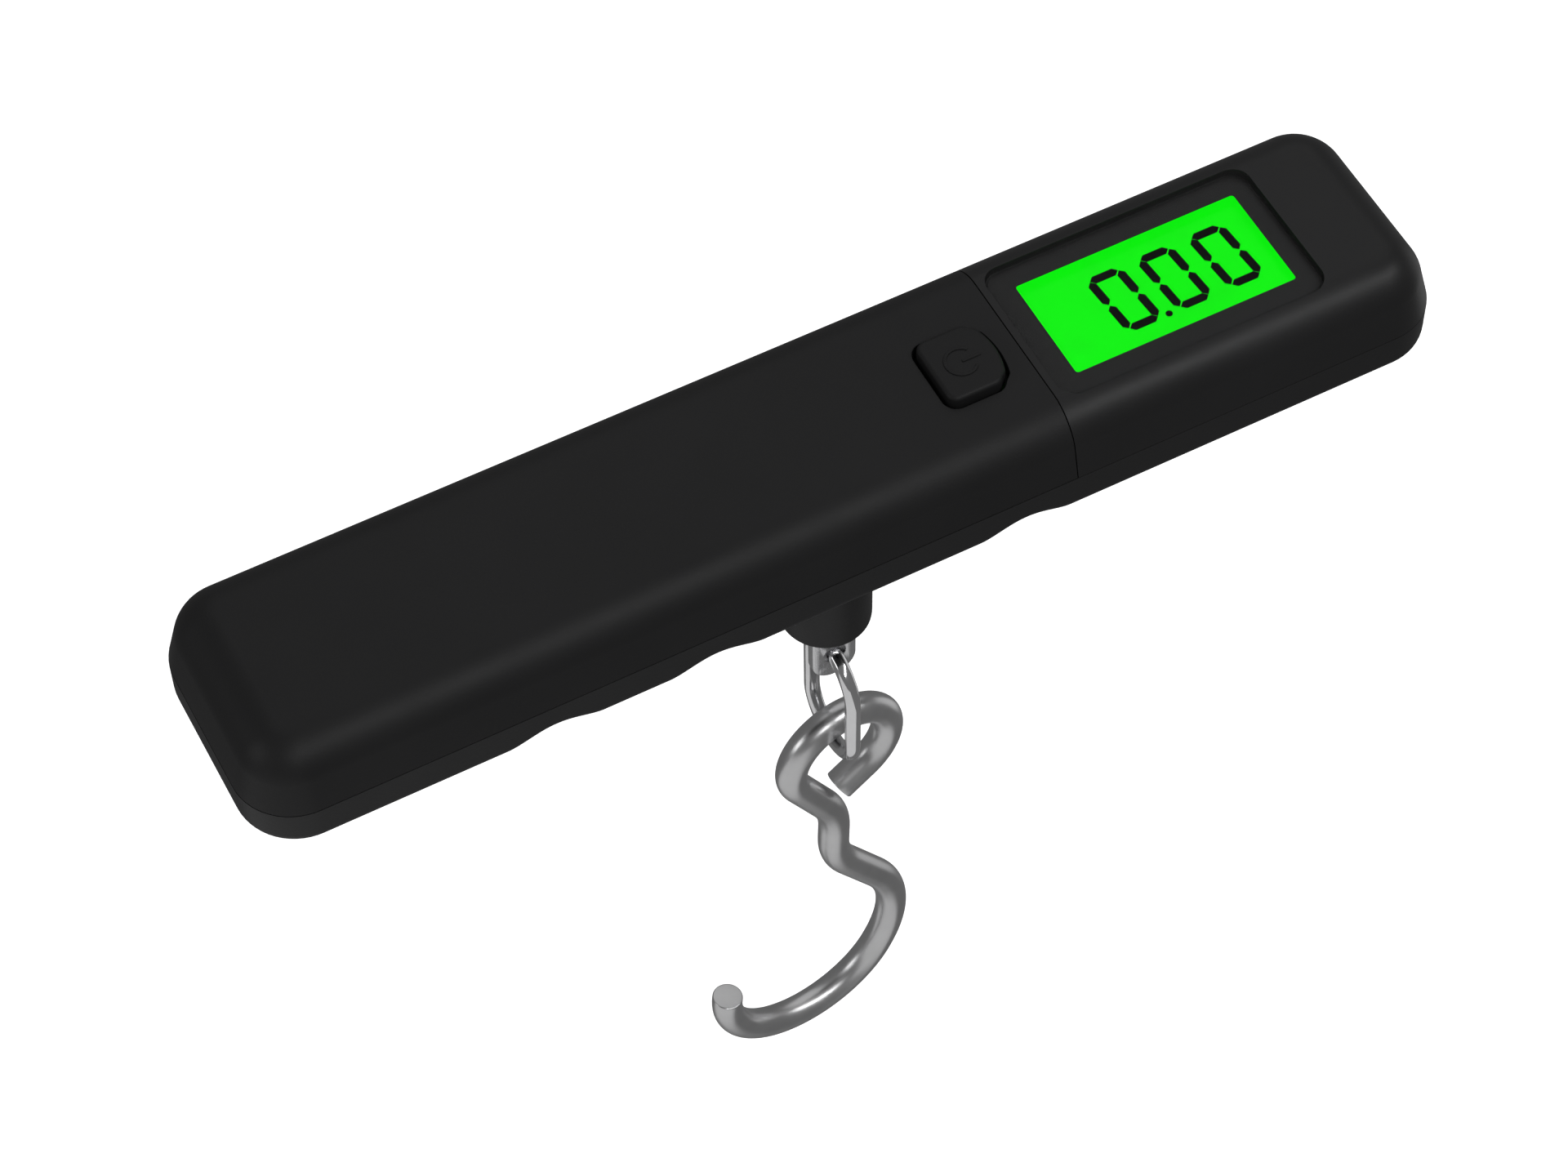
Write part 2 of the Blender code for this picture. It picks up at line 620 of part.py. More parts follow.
def make_hook(chrome):
    turn = Matrix.Rotation(HOOK_TURN, 4, "Z")
    points = [turn @ Vector((x, 0.0, z)) for x, z in hook_path()]
    hook = wire("luggage_hook", points, HOOK_WIRE_R, chrome)
    set_origin(hook, (0.0, 0.0, EYE_TOP_Z))


# ---------------------------------------------------------------- build
soft_black = material("soft_black", (0.020, 0.020, 0.021), 0.55)
satin_black = material("satin_black", (0.018, 0.018, 0.019), 0.38)
rubber_black = material("rubber_black", (0.016, 0.016, 0.016), 0.70)
chrome = material("chrome", (0.62, 0.62, 0.62), 0.12, 1.0)
steel = material("steel", (0.52, 0.52, 0.53), 0.30, 1.0)
nickel = material("nickel", (0.60, 0.59, 0.56), 0.28, 1.0)
lens_clear = material("lens_clear", (0.10, 0.10, 0.10), 0.10)
lcd_green = material("lcd_green", (0.25, 0.75, 0.05), 0.20)
guide_white = material("guide_white", (0.80, 0.85, 0.80), 0.40)
laminate = material("laminate", (0.03, 0.16, 0.07), 0.45)
chip_black = material("chip_black", (0.03, 0.03, 0.03), 0.50)
film_amber = material("film_amber", (0.55, 0.30, 0.06), 0.40)
copper = material("copper", (0.70, 0.35, 0.15), 0.30, 1.0)

make_handle_cover(soft_black)
make_head_cover(satin_black)
make_lower_shell(soft_black)
make_neck_sleeve(soft_black)
make_display(lens_clear, lcd_green, guide_white, rubber_black)
make_board(laminate, chip_black)
make_button(rubber_black, chip_black, guide_white)
make_battery(steel, nickel, soft_black)
make_load_cell(steel, film_amber, copper)
make_screws(steel)
make_strap(steel)
make_ring(chrome)
make_hook(chrome)

for item in parts.objects:
    item.data.shade_smooth()
    item.data.set_sharp_from_angle(angle=math.radians(35))
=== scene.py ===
"""Looks of the digital luggage scale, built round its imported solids.

Metres, +Z up.  The origin is on the bar's flat top face over the axis that the hook hangs on,
and +X runs along the bar to the read-out end.
"""

import math

import bmesh
import bpy
from mathutils import Matrix, Vector


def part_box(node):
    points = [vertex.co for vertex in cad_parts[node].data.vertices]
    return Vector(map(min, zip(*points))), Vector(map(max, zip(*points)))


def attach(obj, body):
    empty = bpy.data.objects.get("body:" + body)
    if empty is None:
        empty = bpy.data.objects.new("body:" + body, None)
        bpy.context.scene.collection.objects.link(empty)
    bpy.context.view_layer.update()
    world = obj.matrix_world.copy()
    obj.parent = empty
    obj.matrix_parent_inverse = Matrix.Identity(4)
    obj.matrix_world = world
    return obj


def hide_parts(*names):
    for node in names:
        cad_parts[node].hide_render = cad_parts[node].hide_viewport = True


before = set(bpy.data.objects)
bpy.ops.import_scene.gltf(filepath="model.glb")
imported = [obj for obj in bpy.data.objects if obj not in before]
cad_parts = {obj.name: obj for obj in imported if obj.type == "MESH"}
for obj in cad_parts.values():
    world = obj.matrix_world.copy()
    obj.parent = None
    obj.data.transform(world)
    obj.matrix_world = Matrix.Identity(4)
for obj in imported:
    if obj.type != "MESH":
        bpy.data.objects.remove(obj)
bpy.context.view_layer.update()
scene = bpy.context.scene

# ---------------------------------------------------------------- sizes of the casing
HANDLE_REACH = 0.0771
HEAD_REACH = 0.0729
BAR_WIDTH = 0.0304
BOTTOM_Z = -0.0141
CORNER_R = 0.0072
SMALLEST_CORNER = 0.0020
TOP_FILLET = 0.0041
BOTTOM_FILLET = 0.0019
DRAFT = 0.25
PARTING_Z = -0.0083
SEAM_X = 0.0234
WALL = 0.0016
JOINT_LINE = 0.00008         # open width of the lines between casing pieces
EDGE_BREAK = 0.00012         # small round on moulded edges

NOTCH_PLACES = (-0.0420, -0.0222, 0.0170)
NOTCH_HALF_WIDTH = 0.0058
NOTCH_DEPTH = 0.00155

SLEEVE_X = -0.0009
SLEEVE_R = 0.0056
SLEEVE_BOTTOM = -0.0373
BORE_RX = 0.0037
BORE_RY = 0.0024

CELL_X = 0.0460
BAY_R = 0.0117
CAP_R = 0.0114

CASE_SCREWS = ((-0.0690, 0.0), (-0.0345, 0.0), (0.0275, 0.0115), (0.0275, -0.0115), (0.0682, 0.0))

BUTTON_X = 0.0165
BUTTON_Y = -0.0007
BUTTON_HALF_X = 0.0041
BUTTON_HALF_Y = 0.0046
BUTTON_BOW = 0.0012
BUTTON_PROUD = 0.00116
BUTTON_R = 0.0013


# ---------------------------------------------------------------- shader arithmetic
class Level:
    """A number that varies over a surface; arithmetic on it adds Math nodes."""

    def __init__(self, finish, socket):
        self.finish = finish
        self.socket = socket

    def reckon(self, operation, first, second):
        return self.finish.level("ShaderNodeMath", {"operation": operation},
                                 {0: first, 1: second})

    def __add__(self, other):
        return self.reckon("ADD", self, other)

    def __sub__(self, other):
        return self.reckon("SUBTRACT", self, other)

    def __rsub__(self, other):
        return self.reckon("SUBTRACT", other, self)

    def __mul__(self, other):
        return self.reckon("MULTIPLY", self, other)

    __radd__ = __add__
    __rmul__ = __mul__

    def between(self, low, high):
        """0 below low, 1 above high, smooth between."""
        return self.finish.level("ShaderNodeMapRange", {"interpolation_type": "SMOOTHSTEP"},
                                 {"Value": self, "From Min": low, "From Max": high})


class Finish:
    """One material and the nodes that give its surface detail."""

    def __init__(self, name, **plain):
        self.material = bpy.data.materials.new(name)
        self.material.use_nodes = True
        self.tree = self.material.node_tree
        self.shader = self.tree.nodes["Principled BSDF"]
        for socket, amount in plain.items():
            self.shader.inputs[socket.replace("_", " ")].default_value = amount

    def node(self, kind, settings, inputs):
        made = self.tree.nodes.new(kind)
        for key, choice in settings.items():
            setattr(made, key, choice)
        for key, source in inputs.items():
            if isinstance(source, Level):
                source = source.socket
            if isinstance(source, bpy.types.NodeSocket):
                self.tree.links.new(source, made.inputs[key])
            else:
                made.inputs[key].default_value = source
        return made

    def level(self, kind, settings, inputs, output=0):
        return Level(self, self.node(kind, settings, inputs).outputs[output])

    def place(self, stretch=(1.0, 1.0, 1.0)):
        """Object coordinates in metres, stretched where the grain runs one way."""
        where = self.node("ShaderNodeTexCoord", {}, {}).outputs["Object"]
        return self.node("ShaderNodeMapping", {}, {"Vector": where, "Scale": stretch}).outputs[0]

    def noise(self, size, detail=2.0, where=None, stretch=(1.0, 1.0, 1.0)):
        """Cloudy variation whose features are about size metres across."""
        where = where or self.place(stretch)
        return self.level("ShaderNodeTexNoise", {},
                          {"Vector": where, "Scale": 1.0 / size, "Detail": detail})

    def cells(self, size):
        """Pebbled variation whose grains are about size metres across."""
        return self.level("ShaderNodeTexVoronoi", {},
                          {"Vector": self.place(), "Scale": 1.0 / size})

    def blend(self, mask, first, second):
        """A colour that goes from first to second as the mask rises."""
        mixed = self.node("ShaderNodeMix", {"data_type": "RGBA"},
                          {0: mask, 6: (*first, 1.0), 7: (*second, 1.0)})
        return mixed.outputs[2]

    def wear(self, **varying):
        """Feed varying sockets of the shader, such as Roughness or Base_Color."""
        for name, source in varying.items():
            socket = source.socket if isinstance(source, Level) else source
            self.tree.links.new(socket, self.shader.inputs[name.replace("_", " ")])

    def relief(self, height, depth):
        """Bump from a height of 0 to 1, depth metres deep."""
        bump = self.node("ShaderNodeBump", {},
                         {"Height": height, "Distance": depth, "Strength": 1.0})
        self.tree.links.new(bump.outputs[0], self.shader.inputs["Normal"])


def tinted(colour, gain):
    return tuple(channel * gain for channel in colour)


def moulded(name, colour, roughness, grain, grain_depth, **plain):
    """Moulded plastic or rubber: fine spark grain, cloudy sheen and a trace of handling polish."""
    finish = Finish(name, **plain)
    cloud = finish.noise(0.018, 3.0)
    specks = finish.noise(grain, 2.0)
    polish = finish.noise(0.006, 4.0)
    finish.wear(
        Base_Color=finish.blend(cloud, tinted(colour, 0.80), tinted(colour, 1.25)),
        Roughness=roughness + (cloud - 0.5) * 0.10 + (polish - 0.5) * 0.08 + (specks - 0.5) * 0.06,
    )
    finish.relief(specks * 0.7 + finish.cells(grain * 1.6) * 0.3, grain_depth)
    return finish.material


LINE_STRETCH = 0.04          # draw lines run this much slower along the wire than round it


def drawn_wire(name, colour, roughness, streak):
    """Plated wire: fine draw lines along its length and slightly clouded plating."""
    finish = Finish(name, Metallic=1.0)
    rim = finish.node("ShaderNodeAttribute", {"attribute_name": "round_place"}, {})
    along = finish.level("ShaderNodeAttribute", {"attribute_name": "along"}, {}, 2)
    length_place = finish.node("ShaderNodeCombineXYZ", {}, {"Z": along * LINE_STRETCH}).outputs[0]
    wire_place = finish.node("ShaderNodeVectorMath", {"operation": "ADD"},
                             {0: rim.outputs["Vector"], 1: length_place}).outputs[0]
    lines = finish.noise(0.00022, 2.0, where=wire_place)
    cloud = finish.noise(0.0035, 3.0)
    finish.wear(
        Base_Color=finish.blend(cloud, tinted(colour, 0.86), tinted(colour, 1.08)),
        Roughness=roughness + (lines - 0.5) * streak + (cloud - 0.5) * 0.10,
    )
    finish.relief(lines * 0.6 + cloud * 0.4, 0.000008)
    return finish.material


def rolled_steel(name, colour, roughness, stretch):
    """Blanked or turned steel with brush lines that run one way."""
    finish = Finish(name, Metallic=1.0)
    lines = finish.noise(0.0002, 3.0, stretch=stretch)
    stain = finish.noise(0.004, 3.0)
    finish.wear(
        Base_Color=finish.blend(stain, tinted(colour, 0.82), tinted(colour, 1.08)),
        Roughness=roughness + (lines - 0.5) * 0.22 + (stain - 0.5) * 0.08,
    )
    finish.relief(lines, 0.00002)
    return finish.material


def circuit_laminate():
    """Solder mask over copper tracks, with weave showing faintly through."""
    finish = Finish("circuit_laminate", Specular_IOR_Level=0.5)
    tracks = finish.level("ShaderNodeTexBrick", {"offset": 0.37},
                          {"Vector": finish.place(), "Scale": 1.0, "Mortar Size": 0.00022,
                           "Brick Width": 0.0031, "Row Height": 0.0013}, 1)
    weave = finish.noise(0.0004, 1.0, stretch=(1.0, 0.35, 1.0))
    finish.wear(
        Base_Color=finish.blend(tracks, (0.012, 0.10, 0.035), (0.03, 0.20, 0.07)),
        Roughness=0.34 + (weave - 0.5) * 0.12,
    )
    finish.relief(tracks * 0.7 + weave * 0.3, 0.00004)
    return finish.material


def gauge_film():
    """Amber film with the metal grid of a strain gauge."""
    finish = Finish("gauge_film")
    grid = finish.level("ShaderNodeTexWave", {"bands_direction": "Y"},
                        {"Vector": finish.place(), "Scale": 400.0, "Distortion": 0.0}, 1)
    lines = grid.between(0.45, 0.6)
    finish.wear(
        Base_Color=finish.blend(lines, (0.50, 0.26, 0.05), (0.55, 0.53, 0.50)),
        Roughness=0.42 - lines * 0.12,
        Metallic=lines * 0.8,
    )
    finish.relief(lines, 0.00003)
    return finish.material


def back_lit_green():
    """The panel's lit face: even green, a little stronger towards the lamp's side."""
    finish = Finish("back_lit_green", Roughness=0.22, Specular_IOR_Level=0.1,
                    Emission_Strength=0.97)
    glow = finish.noise(0.020, 1.0)
    dots = finish.cells(0.00035)
    mask = glow * 0.8 + dots * 0.2
    lit = finish.blend(mask, (0.0, 0.95, 0.0), (0.0, 1.0, 0.002))
    finish.wear(Emission_Color=lit,
                Base_Color=finish.blend(mask, (0.0, 0.08, 0.0), (0.0, 0.11, 0.0)))
    return finish.material


def clear_window():
    """The read-out's clear cover, lightly handled."""
    finish = Finish("clear_window", Base_Color=(0.02, 0.02, 0.02, 1.0), Specular_IOR_Level=0.5)
    smudge = finish.noise(0.007, 4.0)
    finish.wear(Roughness=0.16 + smudge * 0.14, Alpha=0.06 + smudge.between(0.45, 0.80) * 0.03)
    finish.relief(smudge, 0.00001)
    return finish.material


def milky_plastic():
    """Cloudy white plastic with faint flow marks."""
    finish = Finish("milky_plastic", Subsurface_Weight=0.15, Subsurface_Scale=0.002)
    flow = finish.noise(0.004, 3.0)
    finish.wear(
        Base_Color=finish.blend(flow, (0.74, 0.78, 0.74), (0.84, 0.87, 0.83)),
        Roughness=0.36 + flow * 0.12,
    )
    finish.relief(flow, 0.00003)
    return finish.material


HANDLE_BLACK = moulded("soft_touch_black", (0.0155, 0.0155, 0.0160), 0.50, 0.00024, 0.000012,
                       Specular_IOR_Level=0.22)
HEAD_BLACK = moulded("satin_black", (0.0155, 0.0155, 0.0160), 0.42, 0.00022, 0.000008,
                     Specular_IOR_Level=0.28)
RUBBER_BLACK = moulded("button_rubber", (0.0140, 0.0140, 0.0144), 0.52, 0.00030, 0.000012,
                       Specular_IOR_Level=0.22)
CONNECTOR_RUBBER = moulded("connector_rubber", (0.020, 0.020, 0.022), 0.65, 0.00020, 0.00002)
EPOXY_BLACK = moulded("epoxy_black", (0.022, 0.022, 0.023), 0.52, 0.00012, 0.00002)
PRINTED_BORDER = moulded("printed_border", (0.0210, 0.0210, 0.0215), 0.38, 0.00040, 0.000004,
                         Specular_IOR_Level=0.22)
SEGMENT_INK = moulded("segment_ink", (0.0010, 0.0012, 0.0010), 0.50, 0.00040, 0.000003,
                      Specular_IOR_Level=0.05)
LINK_CHROME = drawn_wire("link_chrome", (0.84, 0.84, 0.85), 0.12, 0.04)
HOOK_STEEL = drawn_wire("hook_steel", (0.68, 0.68, 0.685), 0.31, 0.05)
STRAP_STEEL = rolled_steel("strap_steel", (0.76, 0.76, 0.77), 0.24, (1.0, 1.0, 0.05))
SCREW_STEEL = rolled_steel("screw_steel", (0.50, 0.50, 0.51), 0.30, (1.0, 1.0, 0.3))
BEAM_STEEL = rolled_steel("beam_steel", (0.55, 0.55, 0.57), 0.28, (0.05, 1.0, 1.0))
CELL_NICKEL = rolled_steel("cell_nickel", (0.62, 0.61, 0.58), 0.22, (1.0, 0.1, 1.0))
SPRING_STEEL = rolled_steel("spring_steel", (0.58, 0.57, 0.54), 0.26, (0.1, 1.0, 1.0))
LEAD_COPPER = rolled_steel("lead_copper", (0.70, 0.36, 0.16), 0.30, (0.1, 1.0, 1.0))
LAMINATE = circuit_laminate()
GAUGE_FILM = gauge_film()
PANEL_GREEN = back_lit_green()
WINDOW_CLEAR = clear_window()
MILKY = milky_plastic()


# ---------------------------------------------------------------- mesh helpers
def as_object(name, data):
    item = bpy.data.objects.new(name, data)
    scene.collection.objects.link(item)
    return item


def from_work(name, work):
    mesh = bpy.data.meshes.new(name)
    work.to_mesh(mesh)
    work.free()
    return as_object(name, mesh)


def settled(item, *spent):
    """The evaluated object as a plain mesh object of the same name; spent helpers are removed."""
    bpy.context.view_layer.update()
    graph = bpy.context.evaluated_depsgraph_get()
    mesh = bpy.data.meshes.new_from_object(item.evaluated_get(graph),
                                           preserve_all_data_layers=True, depsgraph=graph)
    name = item.name
    for used in (item, *spent):
        bpy.data.objects.remove(used, do_unlink=True)
    mesh.name = name
    return as_object(name, mesh)


def cut(item, cutter, operation="DIFFERENCE"):
    """Add a Boolean step, and return the cutter for settled() to remove."""
    step = item.modifiers.new(operation.lower(), "BOOLEAN")
    step.operation = operation
    step.object = cutter
    step.solver = "EXACT"
    return cutter


def round_edges(item, width=EDGE_BREAK, segments=2, angle=40):
    bevel = item.modifiers.new("round_edges", "BEVEL")
    bevel.width = width
    bevel.segments = segments
    bevel.limit_method = "ANGLE"
    bevel.angle_limit = math.radians(angle)


def hand_over(item, finish, body, slot, *nodes, sharp=35):
    """Give a finished piece its material, shading, body and the nodes it stands for; the slot
    argument is not used.
    """
    mesh = item.data
    mesh.materials.clear()
    mesh.materials.append(finish)
    mesh.shade_smooth()
    mesh.set_sharp_from_angle(angle=math.radians(sharp))
    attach(item, body)
    if nodes:
        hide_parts(*nodes)


def arc(centre, radius, start, turn, steps):
    angles = (math.radians(start + turn * step / steps) for step in range(steps + 1))
    return [(centre[0] + radius * math.cos(a), centre[1] + radius * math.sin(a)) for a in angles]


def rounded_outline(low, high, radius, steps=10):
    corners = (
        ((high[0] - radius, high[1] - radius), 0),
        ((low[0] + radius, high[1] - radius), 90),
        ((low[0] + radius, low[1] + radius), 180),
        ((high[0] - radius, low[1] + radius), 270),
    )
    points = []
    for centre, start in corners:
        points += arc(centre, radius, start, 90, steps)
    return points


def oval(radius_x, radius_y, steps=64):
    return [(radius_x * x, radius_y * y) for x, y in arc((0.0, 0.0), 1.0, 0, 360, steps)[:-1]]


def disc(centre, radius, steps):
    return [(centre[0] + x, centre[1] + y) for x, y in oval(radius, radius, steps)]


def lofted(name, rings, wrap=False):
    """A skin through rings of equally many points; wrap joins the last ring to the first."""
    work = bmesh.new()
    rows = [[work.verts.new(point) for point in ring] for ring in rings]
    pairs = list(zip(rows, rows[1:]))
    if wrap:
        pairs.append((rows[-1], rows[0]))
    for below, above in pairs:
        for side in range(len(below)):
            after = (side + 1) % len(below)
            work.faces.new((below[side], below[after], above[after], above[side]))
    if not wrap:
        work.faces.new(list(reversed(rows[0])))
        work.faces.new(rows[-1])
    return from_work(name, work)


def prism(name, outline, low, high):
    return lofted(name, [[(*point, height) for point in outline] for height in (low, high)])


def softened(name, shape, low, high, top_round, bottom_round, steps=5):
    """A prism whose outline is shape(inset), with rounded top and bottom edges."""
    rings = []
    for radius, edge, way in ((bottom_round, low, 1), (top_round, high, -1)):
        part = []
        for step in range(steps + 1):
            a = math.pi / 2 * step / steps
            inset = radius * (1 - math.cos(a))
            height = edge + way * radius * (1 - math.sin(a))
            part.append([(*point, height) for point in shape(inset)])
        rings += list(reversed(part)) if way > 0 else part
    return lofted(name, rings)


# ---------------------------------------------------------------- casing
STATION_STEP = 0.0004        # how finely the long sides follow the notches
FIRST_STATION = -0.0660
LAST_STATION = 0.0620
STATION_COUNT = round((LAST_STATION - FIRST_STATION) / STATION_STEP) + 1
STATIONS = [FIRST_STATION + STATION_STEP * i for i in range(STATION_COUNT)]
COARSE_STATIONS = [FIRST_STATION, LAST_STATION]
CORNER_STEPS = 14
FILLET_STEPS = 14
LAND = 0.0021                # straight wall above the parting line
CUT_TOP = 0.0010             # cutters for the top start here
CUT_FLOOR = -0.0040          # and reach through the top wall to here
UNDER_LOW = -0.020           # cutters for the underside start here
UNDER_HIGH = -0.010          # and reach through the tray's floor to here
BUTTON_GAP = 0.00048
SCREW_WAY_R = 0.0019


def bar_ring(inset, height, stations):
    """The bar's plan outline: four corner arcs with stations along both long sides."""
    radius = max(CORNER_R - inset, SMALLEST_CORNER)
    low = (inset - HANDLE_REACH, inset - BAR_WIDTH / 2)
    high = (HEAD_REACH - inset, BAR_WIDTH / 2 - inset)
    right, back = high[0] - radius, high[1] - radius
    left, front = low[0] + radius, low[1] + radius
    points = arc((right, back), radius, 0, 90, CORNER_STEPS)
    points += [(x, high[1]) for x in reversed(stations)]
    points += arc((left, back), radius, 90, 90, CORNER_STEPS)
    points += arc((left, front), radius, 180, 90, CORNER_STEPS)
    points += [(x, low[1]) for x in stations]
    points += arc((right, front), radius, 270, 90, CORNER_STEPS)
    return [(x, y, height) for x, y in points]


def notch_depth(x):
    """How far the underside rises into the finger notches."""
    depth = 0.0
    for middle in NOTCH_PLACES:
        reach = abs(x - middle) / NOTCH_HALF_WIDTH
        if reach < 1.0:
            depth += NOTCH_DEPTH * (0.5 + 0.5 * math.cos(math.pi * reach)) ** 0.8
    return depth


def bar_skin(levels, stations, face_up):
    """Open skin of the bar through (inset, height) levels, closed over the last level only."""
    work = bmesh.new()
    rows = []
    for inset, height in levels:
        ring = bar_ring(inset, height, stations)
        if not face_up:
            share = (PARTING_Z - height) / (PARTING_Z - BOTTOM_Z)
            ring = [(x, y, z + notch_depth(x) * share) for x, y, z in ring]
        rows.append([work.verts.new(point) for point in ring])
    count = len(rows[0])
    faces = []
    for first, second in zip(rows, rows[1:]):
        for side in range(count):
            after = (side + 1) % count
            faces.append((first[side], first[after], second[after], second[side]))
    last = rows[-1]
    corner = CORNER_STEPS + 1
    along = len(stations)
    back = list(reversed(last[corner:corner + along]))
    front = last[3 * corner + along:3 * corner + 2 * along]
    for i in range(along - 1):
        faces.append((front[i], front[i + 1], back[i + 1], back[i]))
    faces.append((back[0], *last[corner + along:3 * corner + along], front[0]))
    faces.append((front[-1], *last[3 * corner + 2 * along:], *last[:corner], back[-1]))
    for face in faces:
        work.faces.new(face if face_up else tuple(reversed(face)))
    return work


def trimmed(work, x, keep_low):
    """Clear the part of a skin that lies past the seam."""
    bmesh.ops.bisect_plane(work, geom=work.verts[:] + work.edges[:] + work.faces[:], dist=1e-7,
                           plane_co=(x, 0.0, 0.0), plane_no=(1.0, 0.0, 0.0),
                           clear_outer=keep_low, clear_inner=not keep_low)


def thicken(item):
    """Give a skin the casing's wall, inwards."""
    skin = item.modifiers.new("wall", "SOLIDIFY")
    skin.thickness = WALL
    skin.offset = -1.0
    skin.use_even_offset = True


def finish_shell(item, cutters):
    """Wall, cut-outs and small rounds of a casing piece, settled into one mesh."""
    for cutter in cutters:
        cut(item, cutter)
    round_edges(item)
    weighted = item.modifiers.new("weighted", "WEIGHTED_NORMAL")
    weighted.keep_sharp = True
    item.data.shade_smooth()
    return settled(item, *cutters)


def cover_levels():
    """Levels of the covers: a drafted wall, then the round into the flat top."""
    levels = [(0.0, PARTING_Z + JOINT_LINE / 2), (DRAFT * LAND, PARTING_Z + LAND)]
    for step in range(FILLET_STEPS + 1):
        a = math.pi / 2 * step / FILLET_STEPS
        drop = TOP_FILLET * (1 - math.sin(a))
        levels.append((TOP_FILLET * (1 - math.cos(a)) + DRAFT * (-drop - PARTING_Z), -drop))
    return levels


def button_shape(inset):
    """The button's outline: a rounded square whose side next to the seam bows outwards."""
    half_x = BUTTON_HALF_X - inset
    half_y = BUTTON_HALF_Y - inset
    radius = max(BUTTON_R - inset, 0.0003)
    shoulder = half_x - BUTTON_BOW
    bow_r = (half_y ** 2 + BUTTON_BOW ** 2) / (2 * BUTTON_BOW)
    spread = math.degrees(math.asin((half_y - radius) / bow_r))
    points = arc((half_x - bow_r, 0.0), bow_r, -spread, 2 * spread, 16)
    points += arc((shoulder - radius, half_y - radius), radius, 30, 60, 8)
    points += arc((radius - half_x, half_y - radius), radius, 90, 90, 8)
    points += arc((radius - half_x, radius - half_y), radius, 180, 90, 8)
    points += arc((shoulder - radius, radius - half_y), radius, 270, 60, 8)
    return [(x + BUTTON_X, y + BUTTON_Y) for x, y in points]


def make_handle_cover():
    work = bar_skin(cover_levels(), COARSE_STATIONS, True)
    trimmed(work, SEAM_X - JOINT_LINE / 2, True)
    item = from_work("handle_cover_shell", work)
    thicken(item)
    hole = prism("button_hole", button_shape(-BUTTON_GAP), CUT_FLOOR, CUT_TOP)
    item = finish_shell(item, [hole])
    hand_over(item, HANDLE_BLACK, "bar", "soft_black", "handle_cover")


LENS_LOW = (0.02445, -0.0100)
LENS_HIGH = (0.05895, 0.0100)
LENS_R = 0.0022
LENS_THICK = 0.0010
LENS_GAP = 0.00014           # groove between lens and head cover
LENS_LEDGE = 0.0013          # what the lens rests on, all round


def lens_outline(grow):
    return rounded_outline((LENS_LOW[0] - grow, LENS_LOW[1] - grow),
                           (LENS_HIGH[0] + grow, LENS_HIGH[1] + grow), LENS_R + grow)


def make_head_cover():
    work = bar_skin(cover_levels(), COARSE_STATIONS, True)
    trimmed(work, SEAM_X + JOINT_LINE / 2, False)
    item = from_work("head_cover_shell", work)
    thicken(item)
    pocket = prism("lens_pocket", lens_outline(LENS_GAP), -LENS_THICK - 0.0002, CUT_TOP)
    window = prism("window_hole", lens_outline(-LENS_LEDGE), CUT_FLOOR, CUT_TOP)
    item = finish_shell(item, [pocket, window])
    hand_over(item, HEAD_BLACK, "bar", "satin_black", "head_cover")


def make_lower_shell():
    levels = [(0.0, PARTING_Z - JOINT_LINE / 2), (0.0, PARTING_Z - 0.0020)]
    steps = 10
    for step in range(steps + 1):
        a = math.pi / 2 * step / steps
        levels.append((BOTTOM_FILLET * (1 - math.cos(a)),
                       BOTTOM_Z + BOTTOM_FILLET * (1 - math.sin(a))))
    item = from_work("lower_shell_tray", bar_skin(levels, STATIONS, False))
    thicken(item)
    ways = [disc((SLEEVE_X, 0.0), SLEEVE_R + JOINT_LINE, 96), disc((CELL_X, 0.0), BAY_R, 96)]
    ways += [disc(place, SCREW_WAY_R, 32) for place in CASE_SCREWS]
    cutters = [prism(f"underside_way_{number}", way, UNDER_LOW, UNDER_HIGH)
               for number, way in enumerate(ways)]
    item = finish_shell(item, cutters)
    hand_over(item, HANDLE_BLACK, "bar", "soft_black", "lower_shell")


def make_neck():
    """Round neck with a soft lower edge and a small flare where it leaves the bar."""
    top = -0.0118
    middle = -0.0260
    edge = 0.0006
    chamfer = 0.0003
    outer = [(0.0016, top), (0.0015, BOTTOM_Z), (0.0010, -0.0146), (0.0005, -0.0152),
             (0.0002, -0.0160), (0.0, -0.0172), (0.0, middle), (0.0, SLEEVE_BOTTOM + 0.0007)]
    steps = 5
    for step in range(1, steps + 1):
        a = math.pi / 2 * step / steps
        outer.append((edge * (math.cos(a) - 1), SLEEVE_BOTTOM + edge * (1 - math.sin(a))))
    rings = [[(x + SLEEVE_X, y, z) for x, y in oval(SLEEVE_R + grow, SLEEVE_R + grow)]
             for grow, z in outer]
    bore = [(chamfer, SLEEVE_BOTTOM), (0.0, SLEEVE_BOTTOM + chamfer), (0.0, middle), (0.0, top)]
    rings += [[(x, y, z) for x, y in oval(BORE_RX + grow, BORE_RY + grow)] for grow, z in bore]
    item = lofted("neck_sleeve_moulding", list(reversed(rings)), wrap=True)
    hand_over(item, HANDLE_BLACK, "bar", "soft_black", "neck_sleeve")


# ---------------------------------------------------------------- read-out
WINDOW_LOW = (0.0276, -0.0069)
WINDOW_HIGH = (0.0565, 0.0072)
DIGIT_PLACES = (0.03807, 0.04475, 0.05156)      # middle of each digit
DIGIT_Y = 0.00045
DIGIT_HALF_WIDTH = 0.0019
DIGIT_HALF_HEIGHT = 0.0040
DIGIT_LEAN = -0.078
STROKE = 0.00105
STROKE_GAP = 0.00016         # between neighbouring strokes
POINT_PLACE = (0.04155, -0.00378)
POINT_R = 0.00042
INK_THICK = 0.00006


